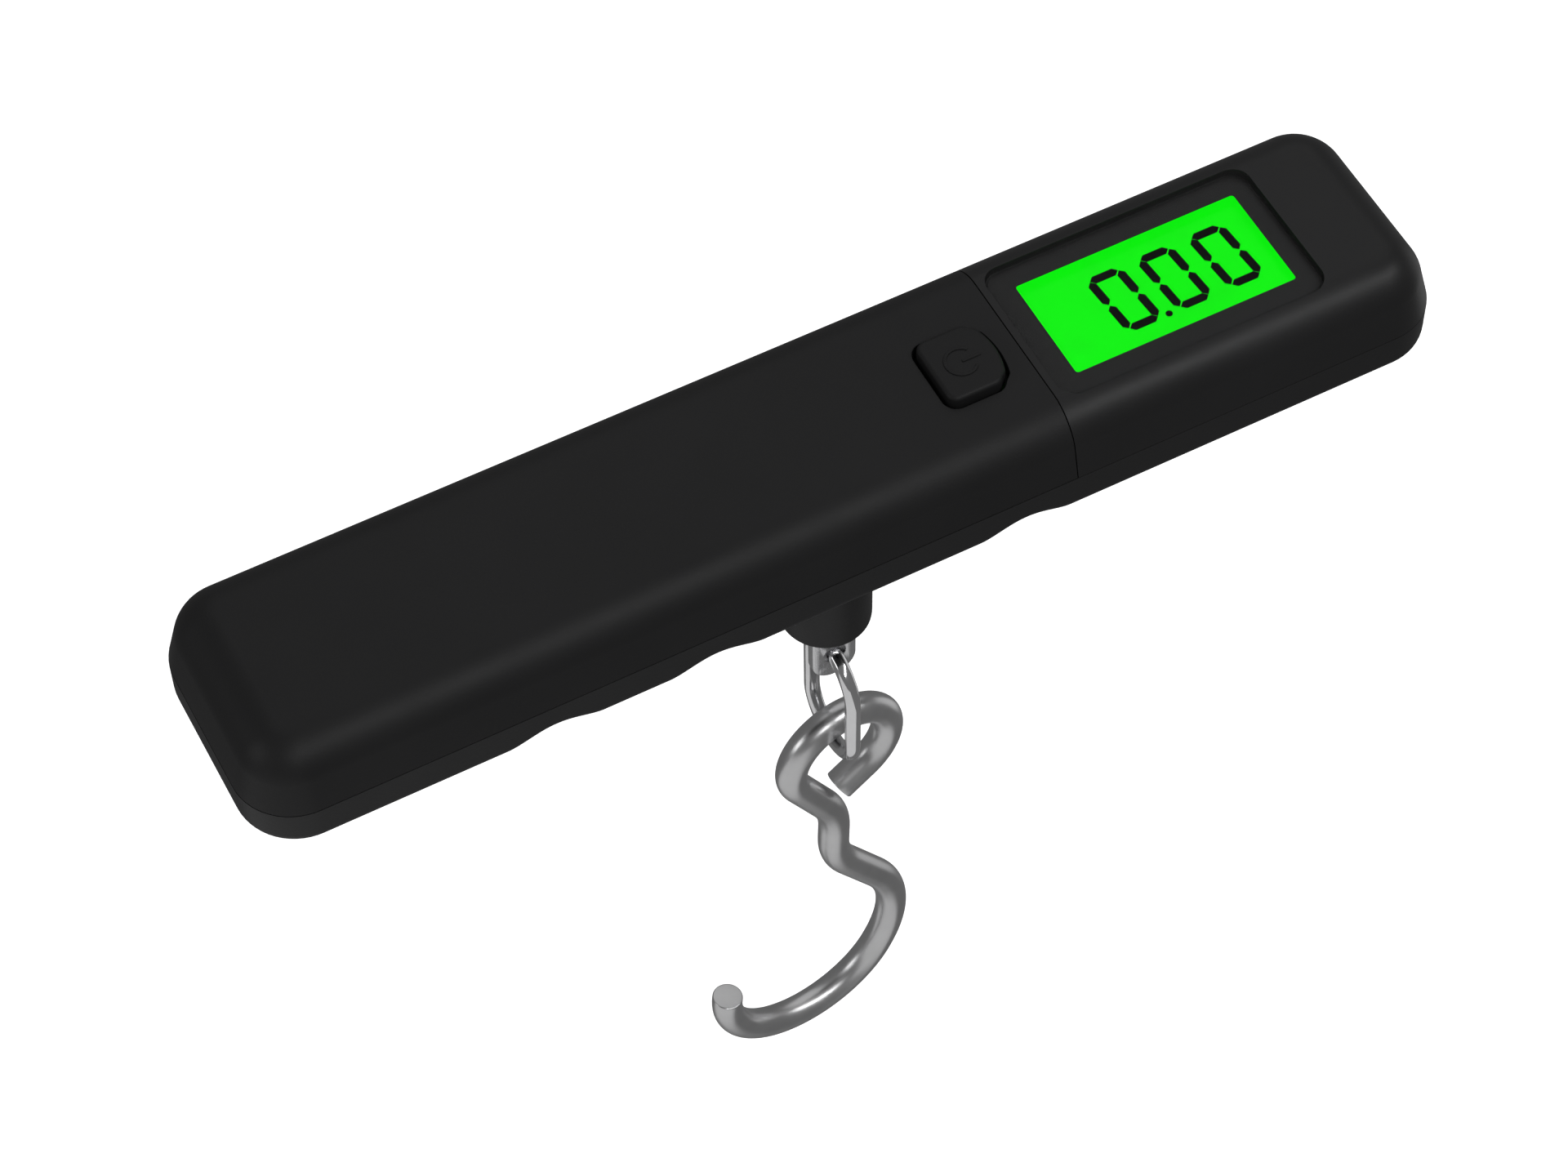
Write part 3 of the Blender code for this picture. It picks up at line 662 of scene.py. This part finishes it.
def geometry_tree(name, sockets):
    """An empty Geometry Nodes tree with named inputs; returns it with its input node."""
    tree = bpy.data.node_groups.new(name, "GeometryNodeTree")
    tree.interface.new_socket("Geometry", in_out="INPUT", socket_type="NodeSocketGeometry")
    for label, kind in sockets.items():
        tree.interface.new_socket(label, in_out="INPUT", socket_type=kind)
    tree.interface.new_socket("Geometry", in_out="OUTPUT", socket_type="NodeSocketGeometry")
    return tree, tree.nodes.new("NodeGroupInput")


def tree_node(tree, kind, settings, inputs):
    made = tree.nodes.new(kind)
    for key, choice in settings.items():
        setattr(made, key, choice)
    for key, source in inputs.items():
        if isinstance(source, bpy.types.NodeSocket):
            tree.links.new(source, made.inputs[key])
        else:
            made.inputs[key].default_value = source
    return made


def close_tree(tree, geometry, finish):
    """Every tree ends the same way: real geometry, with its material set."""
    real = tree_node(tree, "GeometryNodeRealizeInstances", {}, {"Geometry": geometry})
    painted = tree_node(tree, "GeometryNodeSetMaterial", {},
                        {"Geometry": real.outputs[0], "Material": finish})
    out = tree.nodes.new("NodeGroupOutput")
    tree.links.new(painted.outputs[0], out.inputs[0])


def run_tree(item, tree, **values):
    """Run a tree on an object with its inputs set by identifier, and keep the plain mesh."""
    step = item.modifiers.new(tree.name, "NODES")
    step.node_group = tree
    for socket in tree.interface.items_tree:
        if socket.in_out == "INPUT" and socket.name in values:
            step[socket.identifier] = values.pop(socket.name)
    return settled(item)


def repeat_tree():
    """Copies of a pattern on points, each turned by the point's own angle."""
    tree, entry = geometry_tree("repeat_on_points", {
        "Pattern": "NodeSocketObject", "Size": "NodeSocketFloat", "Finish": "NodeSocketMaterial"})
    pattern = tree_node(tree, "GeometryNodeObjectInfo", {}, {"Object": entry.outputs["Pattern"]})
    angle = tree_node(tree, "GeometryNodeInputNamedAttribute", {"data_type": "FLOAT"},
                      {"Name": "turn"})
    turn = tree_node(tree, "ShaderNodeCombineXYZ", {}, {"Z": angle.outputs[0]})
    points = tree_node(tree, "GeometryNodeMeshToPoints", {}, {"Mesh": entry.outputs["Geometry"]})
    copies = tree_node(tree, "GeometryNodeInstanceOnPoints", {},
                       {"Points": points.outputs[0], "Instance": pattern.outputs["Geometry"],
                        "Rotation": turn.outputs[0], "Scale": entry.outputs["Size"]})
    close_tree(tree, copies.outputs[0], entry.outputs["Finish"])
    return tree


def wire_tree():
    """A round wire swept along a path, keeping its place along and round the wire."""
    tree, entry = geometry_tree("wire_on_path", {
        "Radius": "NodeSocketFloat", "Sides": "NodeSocketInt", "Finish": "NodeSocketMaterial"})
    length = tree_node(tree, "GeometryNodeSplineParameter", {}, {})
    path = tree_node(tree, "GeometryNodeStoreNamedAttribute",
                     {"data_type": "FLOAT", "domain": "POINT"},
                     {"Geometry": entry.outputs["Geometry"], "Name": "along",
                      "Value": length.outputs["Length"]})
    ring = tree_node(tree, "GeometryNodeCurvePrimitiveCircle", {},
                     {"Resolution": entry.outputs["Sides"], "Radius": entry.outputs["Radius"]})
    place = tree_node(tree, "GeometryNodeInputPosition", {}, {})
    profile = tree_node(tree, "GeometryNodeStoreNamedAttribute",
                        {"data_type": "FLOAT_VECTOR", "domain": "POINT"},
                        {"Geometry": ring.outputs[0], "Name": "round_place",
                         "Value": place.outputs[0]})
    swept = tree_node(tree, "GeometryNodeCurveToMesh", {},
                      {"Curve": path.outputs[0], "Profile Curve": profile.outputs[0],
                       "Fill Caps": True})
    close_tree(tree, swept.outputs[0], entry.outputs["Finish"])
    return tree


REPEAT = repeat_tree()
WIRE = wire_tree()


def repeated(name, pattern, places, finish, angles):
    """The pattern on every place, as one mesh; the pattern object is used up."""
    mesh = bpy.data.meshes.new(name)
    mesh.from_pydata(places, [], [])
    turn = mesh.attributes.new("turn", "FLOAT", "POINT")
    for number, angle in enumerate(angles):
        turn.data[number].value = angle
    item = run_tree(as_object(name, mesh), REPEAT, Pattern=pattern, Size=1.0, Finish=finish)
    bpy.data.objects.remove(pattern, do_unlink=True)
    return item


def swept_wire(name, points, radius, sides, finish, closed):
    """A round wire along the points, as one mesh."""
    curve = bpy.data.curves.new(name, "CURVE")
    curve.dimensions = "3D"
    spline = curve.splines.new("POLY")
    spline.points.add(len(points) - 1)
    for point, place in zip(spline.points, points):
        point.co = (*place, 1.0)
    spline.use_cyclic_u = closed
    return run_tree(as_object(name, curve), WIRE, Radius=radius, Sides=sides, Finish=finish)


def segment_pattern(name, length):
    """One stroke of a digit: a flat bar with pointed ends."""
    half = length / 2
    side = STROKE / 2
    outline = [(-half, 0.0), (-half + side, -side), (half - side, -side),
               (half, 0.0), (half - side, side), (-half + side, side)]
    return prism(name, outline, 0.0, INK_THICK)


def make_digits(face):
    """Three zeros made of separate bars, and a point, leaning as the panel's artwork does."""
    across = []
    upright = []
    for middle in DIGIT_PLACES:
        for level in (DIGIT_HALF_HEIGHT, -DIGIT_HALF_HEIGHT):
            across.append((middle + level * DIGIT_LEAN, DIGIT_Y + level, face))
        for side in (-1, 1):
            for half in (-1, 1):
                level = half * DIGIT_HALF_HEIGHT / 2
                x = middle + side * DIGIT_HALF_WIDTH + level * DIGIT_LEAN
                upright.append((x, DIGIT_Y + level, face))
    slant = math.pi / 2 - math.atan(DIGIT_LEAN)
    bars = []
    for kind, places, length, turn in (("across", across, 2 * DIGIT_HALF_WIDTH, 0.0),
                                       ("upright", upright, DIGIT_HALF_HEIGHT, slant)):
        stroke = segment_pattern("stroke", length - STROKE_GAP)
        bars.append(repeated(f"digit_{kind}_bars", stroke, places, SEGMENT_INK,
                             [turn] * len(places)))
    point = prism("decimal_point", disc(POINT_PLACE, POINT_R, 24), face, face + INK_THICK)
    for bar in (*bars, point):
        hand_over(bar, SEGMENT_INK, "bar", "chip_black", sharp=30)


def make_read_out():
    """The clear lens, the dark border printed on its back, and the digits on the panel."""
    lens = softened("display_window", lambda inset: lens_outline(-inset), -LENS_THICK, -0.00003,
                    0.0002, 0.00005)
    hand_over(lens, WINDOW_CLEAR, "bar", "lens_clear", "display_lens")
    print_low = -LENS_THICK - 0.00010
    border = prism("window_border", lens_outline(-0.0002), print_low, print_low + INK_THICK)
    opening = prism("border_opening", rounded_outline(WINDOW_LOW, WINDOW_HIGH, 0.0004, 4),
                    print_low - 0.001, print_low + 0.001)
    cut(border, opening)
    border = settled(border, opening)
    hand_over(border, PRINTED_BORDER, "bar", "satin_black")
    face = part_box("lcd_panel")[1][2]
    make_digits(face + 0.00002)


SYMBOL_MIDDLE = (BUTTON_X - 0.0004, BUTTON_Y - 0.0001)
SYMBOL_OUTER_R = 0.00205
SYMBOL_INNER_R = 0.00170
SYMBOL_HEIGHT = 0.00013


def make_button():
    """Rubber cap, the flange that seals its hole, and the raised power symbol."""
    item = softened("power_button_cap", button_shape, -0.0021, BUTTON_PROUD, 0.00055, 0.0001, 8)
    hand_over(item, RUBBER_BLACK, "button", "rubber_black", "power_button")
    skirt = prism("power_button_skirt", button_shape(-0.0012), -0.0029, -0.0022)
    hand_over(skirt, RUBBER_BLACK, "button", "rubber_black")
    base = BUTTON_PROUD - 0.00005
    top = BUTTON_PROUD + SYMBOL_HEIGHT
    outer = arc(SYMBOL_MIDDLE, SYMBOL_OUTER_R, 40, 280, 40)
    inner = arc(SYMBOL_MIDDLE, SYMBOL_INNER_R, 320, -280, 40)
    ring = prism("power_symbol_ring", outer + inner, base, top)
    stroke = rounded_outline((BUTTON_X - 0.0003, BUTTON_Y - 0.00028),
                             (BUTTON_X + 0.0021, BUTTON_Y + 0.00008), 0.00017, 4)
    bar = prism("power_symbol_bar", stroke, base, top)
    for mark in (ring, bar):
        round_edges(mark, 0.00004)
        hand_over(settled(mark), RUBBER_BLACK, "button", "rubber_black")


# ---------------------------------------------------------------- underside
COIN_WAY_HALF_X = 0.0065
COIN_WAY_HALF_Y = 0.0009
DISH_R = 0.0098
PIP_COUNT = 24
PIP_CIRCLE_R = 0.0087


def make_case_screws():
    """Pan-head screws with a cross recess, seen at the bottom of their wells."""
    top = BOTTOM_Z + 0.0009
    profile = [(1e-5, 0.0008), (0.0009, 0.0008), (0.0016, 0.0006), (0.0016, 0.0),
               (0.0012, -0.00012), (1e-5, -0.0002)]
    rings = [[(x, y, z) for x, y in oval(r, r, 32)] for r, z in reversed(profile)]
    head = lofted("screw_head", rings)
    arms = []
    for key, a, b in (("x", 0.0010, 0.00022), ("y", 0.00022, 0.0010)):
        recess = rounded_outline((-a, -b), (a, b), 0.00015, 3)
        arms.append(cut(head, prism("recess_" + key, recess, -0.001, 0.0003)))
    head = settled(head, *arms)
    shank = prism("screw_shank", oval(0.0008, 0.0008, 16), 0.0007, -0.0048 - top)
    cut(head, shank, "UNION")
    head = settled(head, shank)
    item = repeated("case_screw_heads", head, [(x, y, top) for x, y in CASE_SCREWS], SCREW_STEEL,
                    [0.3, 1.1, 0.7, 0.2, 1.3])
    hand_over(item, SCREW_STEEL, "bar", "steel", *[f"case_screw_{i}" for i in range(1, 6)])


def make_battery_cap():
    """Round cap with a coin slot, a raised rim and grip pips."""
    low = BOTTOM_Z + 0.0001
    middle = (CELL_X, 0.0)
    item = softened("battery_cap_disc", lambda inset: disc(middle, CAP_R - inset, 96),
                    low, low + 0.0015, 0.0003, 0.0003, 4)
    coin_way = rounded_outline((CELL_X - COIN_WAY_HALF_X, -COIN_WAY_HALF_Y),
                               (CELL_X + COIN_WAY_HALF_X, COIN_WAY_HALF_Y), 0.00088, 8)
    slot = prism("coin_way", coin_way, low - 0.001, low + 0.0007)
    dish = prism("dish", disc(middle, DISH_R, 96), low - 0.001, low + 0.00025)
    cut(item, dish)
    cut(item, slot)
    round_edges(item, 0.00010)
    item = settled(item, slot, dish)
    hand_over(item, HANDLE_BLACK, "cap", "soft_black", "battery_cap")
    pip = prism("pip", rounded_outline((-0.0005, -0.00018), (0.0005, 0.00018), 0.00016, 4),
                0.0, 0.0003)
    turns = [math.tau * i / PIP_COUNT for i in range(PIP_COUNT)]
    places = [(CELL_X + PIP_CIRCLE_R * math.cos(a), PIP_CIRCLE_R * math.sin(a), low + 0.00002)
              for a in turns]
    pips = repeated("battery_cap_pips", pip, places, HANDLE_BLACK, turns)
    hand_over(pips, HANDLE_BLACK, "cap", "soft_black")


# ---------------------------------------------------------------- hanging gear
STRAP_HALF_WIDTH = 0.0029
STRAP_HALF_THICK = 0.00075
STRAP_TOP_Z = -0.0031
STRAP_BOTTOM_Z = -0.0502
STRAP_HOLE_R = 0.0015
PIN_Z = -0.0060
LINK_HOLE_Z = -0.0459
RING_WIRE_R = 0.00098
RING_HALF_WIDTH = 0.0053
RING_TOP_Z = LINK_HOLE_Z - STRAP_HOLE_R + RING_WIRE_R + 0.0003
RING_BOTTOM_Z = -0.0651
HOOK_WIRE_R = 0.00203
HOOK_TURN = math.radians(6)
EYE_R = 0.00717
EYE_TOP_Z = RING_BOTTOM_Z + RING_WIRE_R + 0.00045 + HOOK_WIRE_R
HOOK_START_X = 0.0009
HOOK_START_HEADING = 30.0
HOOK_BENDS = (               # straight run, then the bend's radius and its turn in degrees
    (0.00432, EYE_R, 268.4),
    (0.00823, 0.0129, -30.0),
    (0.00309, 0.0121, 33.6),
    (0.00883, 0.0174, -60.0),
    (0.00040, 0.01268, -160.3),
)
BEND_STEP = 3.0


def make_strap():
    """Blanked steel tongue with broken edges and the link's hole."""
    def outline(inset):
        radius = STRAP_HALF_WIDTH - inset
        return (arc((0.0, STRAP_TOP_Z - STRAP_HALF_WIDTH), radius, 0, 180, 24)
                + arc((0.0, STRAP_BOTTOM_Z + STRAP_HALF_WIDTH), radius, 180, 180, 24))

    item = softened("hanger_strap_plate", outline, -STRAP_HALF_THICK, STRAP_HALF_THICK,
                    0.0002, 0.0002, 3)
    for height in (PIN_Z, LINK_HOLE_Z):
        hole = prism("strap_hole", disc((0.0, height), STRAP_HOLE_R, 48), -0.002, 0.002)
        cut(item, hole)
        round_edges(item, 0.00012)
        item = settled(item, hole)
    item.data.transform(Matrix.Rotation(math.pi / 2, 4, "X"))
    hand_over(item, STRAP_STEEL, "bar", "strap_steel", "hanger_strap")


def make_link():
    """Oval link of round wire through the strap's lower hole."""
    radius = RING_HALF_WIDTH
    path = arc((0.0, RING_TOP_Z - radius), radius, 0, 180, 48)
    path += arc((0.0, RING_BOTTOM_Z + radius), radius, 180, 180, 48)
    item = swept_wire("oval_link", [(0.0, y, z) for y, z in path], RING_WIRE_R, 32,
                      LINK_CHROME, True)
    hand_over(item, LINK_CHROME, "ring", "chrome", "link_ring")


def hook_path():
    """The hook's centre line in its own plane, from the eye's cut end to the tip."""
    place = Vector((HOOK_START_X, 0.0))
    heading = math.radians(HOOK_START_HEADING)
    points = [place.copy()]
    for straight, radius, turn in HOOK_BENDS:
        ahead = Vector((math.cos(heading), math.sin(heading)))
        pieces = max(2, round(straight / 0.0012))
        points += [place + ahead * straight * piece / pieces for piece in range(1, pieces + 1)]
        place = place + ahead * straight
        side = math.copysign(1.0, turn)
        centre = place + Vector((-math.sin(heading), math.cos(heading))) * radius * side
        steps = math.ceil(abs(turn) / BEND_STEP)
        for step in range(1, steps + 1):
            angle = heading + math.radians(turn * step / steps)
            place = centre + Vector((math.sin(angle), -math.cos(angle))) * radius * side
            points.append(place.copy())
        heading += math.radians(turn)
    eye_top = max(point.y for point in points)
    return [(point.x, point.y - eye_top + EYE_TOP_Z) for point in points]


def make_hook():
    """One bent wire with softly rounded cut ends, turned a little out of the bar's plane."""
    turn = Matrix.Rotation(HOOK_TURN, 4, "Z")
    points = [turn @ Vector((x, 0.0, z)) for x, z in hook_path()]
    item = swept_wire("bent_wire_hook", points, HOOK_WIRE_R, 48, HOOK_STEEL, False)
    round_edges(item, 0.00018, 3, 60)
    item = settled(item)
    hand_over(item, HOOK_STEEL, "hook", "hook_steel", "luggage_hook", sharp=50)


# ---------------------------------------------------------------- build
make_handle_cover()
make_head_cover()
make_lower_shell()
make_neck()
make_read_out()
make_button()
make_case_screws()
make_battery_cap()
make_strap()
make_link()
make_hook()

KEPT_NODES = {
    "lcd_panel": PANEL_GREEN,
    "light_guide": MILKY,
    "zebra_strip": CONNECTOR_RUBBER,
    "main_board": LAMINATE,
    "controller_chip": EPOXY_BLACK,
    "tact_switch": EPOXY_BLACK,
    "switch_plunger": MILKY,
    "coin_cell": CELL_NICKEL,
    "cell_contact_negative": SPRING_STEEL,
    "cell_contact_positive": SPRING_STEEL,
    "load_cell_beam": BEAM_STEEL,
    "strain_gauge_1": GAUGE_FILM,
    "strain_gauge_2": GAUGE_FILM,
    "gauge_leads": LEAD_COPPER,
    "strap_pin": SCREW_STEEL,
    "board_screw_1": SCREW_STEEL,
    "board_screw_2": SCREW_STEEL,
    "board_screw_3": SCREW_STEEL,
    "beam_screw_1": SCREW_STEEL,
    "beam_screw_2": SCREW_STEEL,
}
for node, finish in KEPT_NODES.items():
    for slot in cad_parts[node].material_slots:
        slot.material = finish


# ---------------------------------------------------------------- camera, floor and light
CAMERA_PLACE = (-0.13798, -0.26042, 0.38803)
CAMERA_RIGHT = Vector((0.8849, -0.4656, -0.0112))
CAMERA_BACK = Vector((-0.2588, -0.5117, 0.8193))
FOCAL_MM = 100.48
SUBJECT = Vector((0.0, 0.0, -0.03))
FLOOR_Z = -0.32

back = CAMERA_BACK.normalized()
right = (CAMERA_RIGHT - back * CAMERA_RIGHT.dot(back)).normalized()
up = back.cross(right)
optics = bpy.data.cameras.new("camera")
optics.lens = FOCAL_MM
optics.sensor_width = 36.0
optics.clip_start = 0.01
camera = as_object("camera", optics)
turned = Matrix((right, up, back)).transposed().to_4x4()
camera.matrix_world = Matrix.Translation(CAMERA_PLACE) @ turned
scene.camera = camera


def make_floor():
    """Pale floor, kept out of reflections so that the dark casing stays dark."""
    work = bmesh.new()
    bmesh.ops.create_grid(work, x_segments=8, y_segments=8, size=4.0)
    bmesh.ops.translate(work, vec=(0.0, 0.0, FLOOR_Z), verts=work.verts)
    floor = from_work("floor", work)
    paint = Finish("pale_floor", Roughness=0.9, Emission_Strength=0.85)
    grain = paint.noise(0.05, 3.0)
    paint.wear(Base_Color=paint.blend(grain, (0.90, 0.90, 0.90), (0.94, 0.94, 0.94)),
               Emission_Color=paint.blend(grain, (0.97, 0.97, 0.97), (1.0, 1.0, 1.0)))
    floor.data.materials.append(paint.material)
    floor.visible_glossy = False
    floor.visible_diffuse = False


def soft_box(name, direction, distance, width, height, power):
    """White panel light that faces the subject from a direction."""
    light = bpy.data.lights.new(name, "AREA")
    light.shape = "RECTANGLE"
    light.size = width
    light.size_y = height
    light.energy = power
    item = as_object(name, light)
    way = Vector(direction).normalized()
    item.location = SUBJECT + way * distance
    item.rotation_euler = way.to_track_quat("Z", "Y").to_euler()


def make_studio():
    world = bpy.data.worlds.new("studio")
    scene.world = world
    world.use_nodes = True
    ground = world.node_tree.nodes["Background"]
    ground.inputs["Color"].default_value = (1.0, 1.0, 1.0, 1.0)
    ground.inputs["Strength"].default_value = 0.16
    soft_box("front_strip", (0.26, -0.56, 0.80), 0.9, 1.2, 0.10, 3.4)
    soft_box("left_card", (-1.0, 0.10, 0.45), 0.9, 0.35, 0.35, 0.8)
    soft_box("key", (0.3, 0.5, 0.8), 1.2, 1.2, 1.2, 2.0)
    soft_box("low_card", (-0.75, -0.6, -0.75), 0.45, 0.8, 0.8, 0.85)
    soft_box("right_card", (0.9, 0.1, -0.25), 0.6, 0.30, 0.50, 0.22)


make_floor()
make_studio()
scene.view_settings.view_transform = "Standard"


def plain(box):
    return [[float(number) for number in corner] for corner in box]
